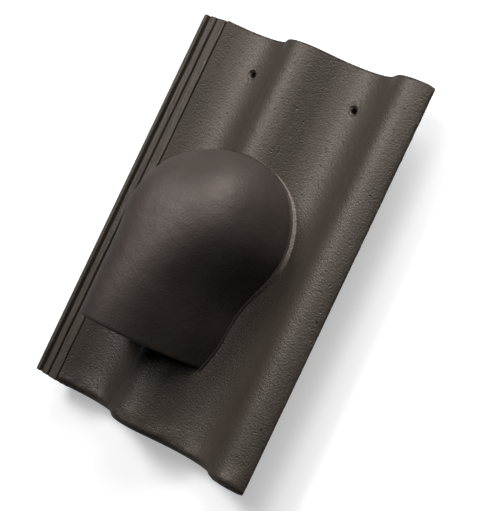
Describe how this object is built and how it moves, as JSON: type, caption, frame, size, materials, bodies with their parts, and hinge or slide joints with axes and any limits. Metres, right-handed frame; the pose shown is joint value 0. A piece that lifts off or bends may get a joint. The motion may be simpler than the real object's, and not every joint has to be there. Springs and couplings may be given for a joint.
{
  "type": "solar cable roof tile",
  "caption": "Interlocking double-roll concrete roof tile with a moulded hood over a cable hole, which leads solar cables under the roof covering with its mouth down the slope.",
  "frame": {"origin": "middle of the tile in plan, on the plane of its nib tips", "axes": "+X across the roof from the interlock to the overlapping roll, +Y up the slope from tail to head, +Z out of the roof"},
  "size_m": [0.3392, 0.42, 0.1415],
  "materials": {
    "tile": "coated concrete, satin with fine grain",
    "hood": "painted plastic, satin",
    "bead": "speckled sealing mortar, painted over"
  },
  "bodies": {
    "root": {"roof_tile": "tile", "cable_hood": "hood", "sealing_bead": "bead"}
  },
  "joints": []
}
